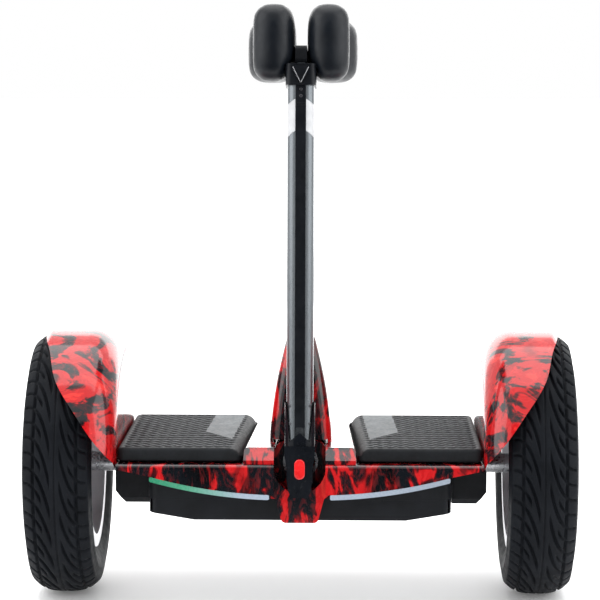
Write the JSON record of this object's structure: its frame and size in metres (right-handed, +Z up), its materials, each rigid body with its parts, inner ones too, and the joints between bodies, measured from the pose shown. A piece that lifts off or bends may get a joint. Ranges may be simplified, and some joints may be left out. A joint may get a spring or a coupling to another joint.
{
  "type": "self-balancing scooter",
  "caption": "Two-wheel self-balancing scooter with hub-motor wheels, fenders, ribbed foot mats, a centre hump and a knee-steered bar with padded rests.",
  "frame": {"origin": "on the ground, midway between the wheels and under the axle", "axes": "+Z up, +X along the axle to the right as seen in the picture, front at -Y"},
  "size_m": [0.5522, 0.267, 0.5987],
  "materials": {
    "tyre_rubber": "matt moulded rubber",
    "cast_alloy": "satin cast alloy",
    "dark_alloy": "dark satin extrusion",
    "flame_paint": "glossy clear coat over a red and black flame pattern",
    "cap_red": "glossy red",
    "button_red": "bright glossy red",
    "black_plastic": "fine textured black",
    "mat_rubber": "ribbed charcoal rubber",
    "pad_rubber": "smooth satin skin over foam",
    "steel": "machined steel",
    "black_steel": "black screws",
    "laminations": "stacked sheet steel",
    "magnets": "nickel plated",
    "copper_wire": "enamelled copper",
    "cell_wrap": "wrapped metal can",
    "board_green": "coated circuit board",
    "lens_green": "translucent light strip, green to pale",
    "lens_pale": "translucent light strip, pale",
    "lens_red": "translucent red light strip",
    "clamp_black": "black cast clamp"
  },
  "bodies": {
    "chassis": {"chassis_frame": "clamp_black", "steering_housing": "cast_alloy", "steering_bearings": "steel", "steering_spring": "steel", "axles": "steel", "stator_cores": "laminations", "stator_windings": "copper_wire", "axle_clamps": "clamp_black", "clamp_bolts": "black_steel", "deck_shell": "flame_paint", "hump_cover": "flame_paint", "fender_left": "flame_paint", "fender_right": "flame_paint", "fender_screws": "black_steel", "headlight_left": "lens_green", "headlight_right": "lens_pale", "tail_lights": "lens_red", "battery_case": "black_plastic", "battery_lid": "black_plastic", "battery_cells": "cell_wrap", "bms_board": "board_green", "circuit_boards": "board_green", "charge_port": "black_plastic", "pad_switches": "black_plastic"},
    "steering": {"steering_shaft": "steel", "stem_socket": "black_steel", "stem_cover": "black_plastic", "stem_tube": "dark_alloy", "stem_strip": "black_plastic", "stem_collar": "black_plastic"},
    "upper_bar": {"inner_post": "dark_alloy", "pad_bracket": "black_plastic", "knee_pad_left": "pad_rubber", "knee_pad_right": "pad_rubber"},
    "release_button": {"release_button": "button_red"},
    "height_latch": {"height_latch": "black_plastic"},
    "power_button": {"power_button": "black_plastic"},
    "charge_cap": {"charge_cap": "mat_rubber"},
    "wheel_left": {"tyre_left": "tyre_rubber", "rim_left": "cast_alloy", "motor_side_cover_left": "cast_alloy", "side_cover_screws_left": "black_steel", "wheel_bearings_left": "steel", "hub_cap_left": "cap_red", "motor_magnets_left": "magnets", "tyre_valve_left": "black_plastic"},
    "foot_pad_left": {"foot_mat_left": "mat_rubber", "foot_plate_left": "black_plastic"},
    "wheel_right": {"tyre_right": "tyre_rubber", "rim_right": "cast_alloy", "motor_side_cover_right": "cast_alloy", "side_cover_screws_right": "black_steel", "wheel_bearings_right": "steel", "hub_cap_right": "cap_red", "motor_magnets_right": "magnets", "tyre_valve_right": "black_plastic"},
    "foot_pad_right": {"foot_mat_right": "mat_rubber", "foot_plate_right": "black_plastic"}
  },
  "joints": [
    {"name": "wheel_left_spin", "type": "hinge", "parent": "chassis", "child": "wheel_left", "pos_m": [-0.24, 0, 0.1335], "axis": [1, 0, 0], "continuous": true},
    {"name": "wheel_right_spin", "type": "hinge", "parent": "chassis", "child": "wheel_right", "pos_m": [0.24, 0, 0.1335], "axis": [1, 0, 0], "continuous": true},
    {"name": "steering_tilt", "type": "hinge", "parent": "chassis", "child": "steering", "pos_m": [0, -0.09, 0.147], "axis": [0, 1, 0], "range_deg": [-15, 15], "stiffness_Nm_per_rad": 14},
    {"name": "bar_height", "type": "slide", "parent": "steering", "child": "upper_bar", "axis": [0, 0.1132, 0.9936], "range_m": [0, 0.24]},
    {"name": "release_button_press", "type": "slide", "parent": "steering", "child": "release_button", "axis": [0, 1, 0], "range_m": [0, 0.0025], "stiffness_N_per_m": 400},
    {"name": "height_latch_press", "type": "slide", "parent": "steering", "child": "height_latch", "axis": [0, 0.9936, -0.1132], "range_m": [0, 0.0015], "stiffness_N_per_m": 500},
    {"name": "foot_pad_left_press", "type": "slide", "parent": "chassis", "child": "foot_pad_left", "axis": [0, 0, -1], "range_m": [0, 0.0012], "stiffness_N_per_m": 20000},
    {"name": "foot_pad_right_press", "type": "slide", "parent": "chassis", "child": "foot_pad_right", "axis": [0, 0, -1], "range_m": [0, 0.0012], "stiffness_N_per_m": 20000},
    {"name": "power_button_press", "type": "slide", "parent": "chassis", "child": "power_button", "axis": [0, 0, -1], "range_m": [0, 0.0015], "stiffness_N_per_m": 300},
    {"name": "charge_cap_swing", "type": "hinge", "parent": "chassis", "child": "charge_cap", "pos_m": [-0.107, 0.1201, 0.138], "axis": [0, 0, 1], "range_deg": [0, 110]}
  ]
}
